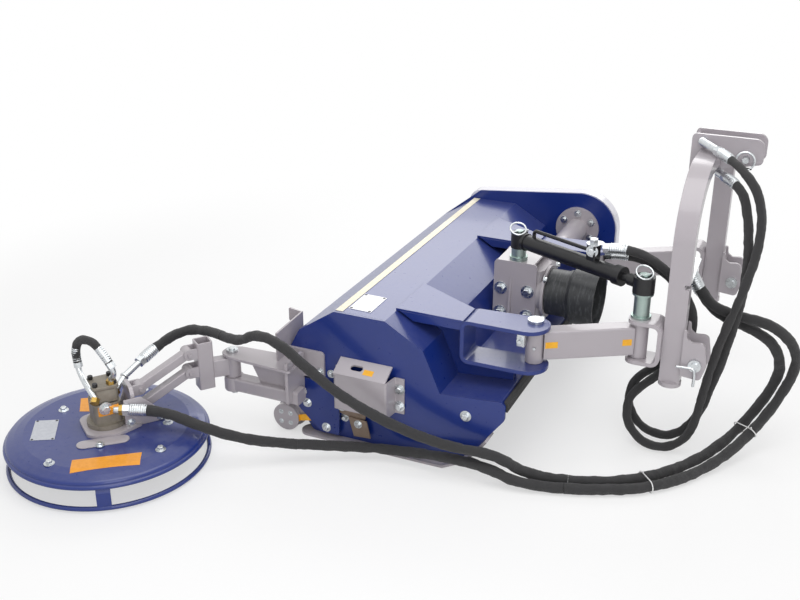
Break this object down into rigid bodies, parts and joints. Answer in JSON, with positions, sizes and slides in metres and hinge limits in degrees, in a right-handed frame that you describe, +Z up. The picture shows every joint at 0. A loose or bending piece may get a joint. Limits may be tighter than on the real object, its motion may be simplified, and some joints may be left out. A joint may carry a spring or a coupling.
{
  "type": "tractor flail mulcher with inter-row disc head",
  "caption": "Offset flail mulcher deck with side-shift arms, three-point hitch frame, rear roller, hydraulic cylinder and a swinging round disc mower head.",
  "frame": {"origin": "on the floor under the middle of the machine, hoses left out", "axes": "+X forward to the tractor, +Y to the left, +Z up"},
  "size_m": [2.1852, 1.951, 0.928],
  "materials": {
    "blue_paint": "gloss",
    "grey_paint": "satin",
    "pale_cover": "satin",
    "black_paint": "satin",
    "black_plastic": "matte",
    "zinc_steel": "zinc plated",
    "bare_steel": "machined",
    "rubber": "matte",
    "cast_grey": "painted casting"
  },
  "bodies": {
    "deck": {"hood": "blue_paint", "side_plate_right": "blue_paint", "side_plate_left": "blue_paint", "belt_cover": "pale_cover", "skid_right": "grey_paint", "skid_left": "grey_paint", "roller_arms": "grey_paint", "roller_brackets": "blue_paint", "gearbox": "cast_grey", "shaft_tube": "grey_paint", "gearbox_mount": "grey_paint", "cylinder_post": "zinc_steel", "guard_base": "black_plastic", "guard_bell": "black_plastic", "swing_bracket_right": "blue_paint", "swing_bracket_left": "blue_paint", "deck_pins": "zinc_steel", "rear_flap": "rubber", "front_flaps": "rubber", "front_strip": "rubber", "outrigger": "grey_paint", "outrigger_mount": "grey_paint", "end_guard": "grey_paint", "swing_pin": "zinc_steel", "hose_return_deck": "rubber", "hose_supply_deck": "rubber"},
    "rotor": {"flail_rotor": "bare_steel"},
    "rear_roller": {"roller": "grey_paint"},
    "drive_shaft": {"input_shaft": "bare_steel"},
    "arm_right": {"swing_arm_right": "grey_paint"},
    "arm_left": {"swing_arm_left": "grey_paint"},
    "hitch": {"hitch_arch": "grey_paint", "hitch_clevises": "grey_paint", "hitch_pins": "zinc_steel", "link_plates": "grey_paint", "link_pins": "zinc_steel", "top_link_bracket": "grey_paint", "top_link_pin": "zinc_steel", "hose_couplings": "zinc_steel", "hose_return_hitch": "rubber", "hose_supply_hitch": "rubber", "hose_lift_hitch": "rubber", "hose_drop_hitch": "rubber"},
    "barrel": {"cylinder_barrel": "black_paint", "hose_lift_barrel": "rubber", "hose_drop_barrel": "rubber"},
    "rod": {"cylinder_rod": "black_paint", "rod_pin": "zinc_steel"},
    "disc_swing": {"swing_post": "grey_paint"},
    "lift_upper": {"lift_link_upper": "grey_paint"},
    "lift_lower": {"lift_link_lower": "grey_paint"},
    "disc_head": {"disc_carrier": "grey_paint", "disc_cover": "blue_paint", "ring_guard": "blue_paint", "disc_motor": "cast_grey", "hose_disc_return": "rubber", "hose_disc_supply": "rubber"},
    "knives": {"knife_rotor": "bare_steel"}
  },
  "joints": [
    {"name": "rotor_spin", "type": "hinge", "parent": "deck", "child": "rotor", "pos_m": [-0.008, 0.312, 0.19], "axis": [0, 1, 0], "continuous": true},
    {"name": "roller_spin", "type": "hinge", "parent": "deck", "child": "rear_roller", "pos_m": [-0.276, 0.312, 0.05], "axis": [0, 1, 0], "continuous": true},
    {"name": "shaft_spin", "type": "hinge", "parent": "deck", "child": "drive_shaft", "pos_m": [0.447, 0.272, 0.372], "axis": [1, 0, 0], "continuous": true},
    {"name": "side_shift", "type": "hinge", "parent": "deck", "child": "arm_right", "pos_m": [0.469, -0.128, 0.375], "axis": [0, 0, 1], "range_deg": [-60, 0]},
    {"name": "hitch_turn", "type": "hinge", "parent": "arm_right", "child": "hitch", "pos_m": [0.739, 0.034, 0.375], "axis": [0, 0, 1], "range_deg": [-1, 61]},
    {"name": "left_arm_swing", "type": "hinge", "parent": "deck", "child": "arm_left", "pos_m": [0.469, 0.562, 0.375], "axis": [0, 0, 1], "range_deg": [-61, 1]},
    {"name": "cylinder_swing", "type": "hinge", "parent": "deck", "child": "barrel", "pos_m": [0.291, 0.237, 0.548], "axis": [0, 0, 1], "range_deg": [-25.3, 1]},
    {"name": "cylinder_stroke", "type": "slide", "parent": "barrel", "child": "rod", "axis": [0.9109, -0.4127, 0], "range_m": [-0.002, 0.2125]},
    {"name": "disc_swing_turn", "type": "hinge", "parent": "deck", "child": "disc_swing", "pos_m": [-0.433, -0.36, 0.22], "axis": [0, 0, 1], "range_deg": [-45, 0]},
    {"name": "disc_lift", "type": "hinge", "parent": "disc_swing", "child": "lift_upper", "pos_m": [-0.52825, -0.46281, 0.29], "axis": [0.7962, -0.6051, 0], "range_deg": [-14, 0]},
    {"name": "lower_link_lift", "type": "hinge", "parent": "disc_swing", "child": "lift_lower", "pos_m": [-0.52825, -0.46281, 0.228], "axis": [0.7962, -0.6051, 0], "range_deg": [-15, 1]},
    {"name": "head_level", "type": "hinge", "parent": "lift_upper", "child": "disc_head", "pos_m": [-0.62343, -0.58804, 0.21329], "axis": [0.7962, -0.6051, 0], "range_deg": [-1, 15]},
    {"name": "knife_spin", "type": "hinge", "parent": "disc_head", "child": "knives", "pos_m": [-0.688, -0.673, 0.06], "axis": [0, 0, 1], "continuous": true}
  ],
  "couplings": [
    {"joint": "hitch_turn", "follows": "side_shift", "ratio": -1},
    {"joint": "left_arm_swing", "follows": "side_shift", "ratio": 1},
    {"joint": "cylinder_swing", "follows": "side_shift", "ratio": 0.405},
    {"joint": "cylinder_stroke", "follows": "side_shift", "m_per_rad": -0.201},
    {"joint": "lower_link_lift", "follows": "disc_lift", "ratio": 1},
    {"joint": "head_level", "follows": "disc_lift", "ratio": -1}
  ]
}
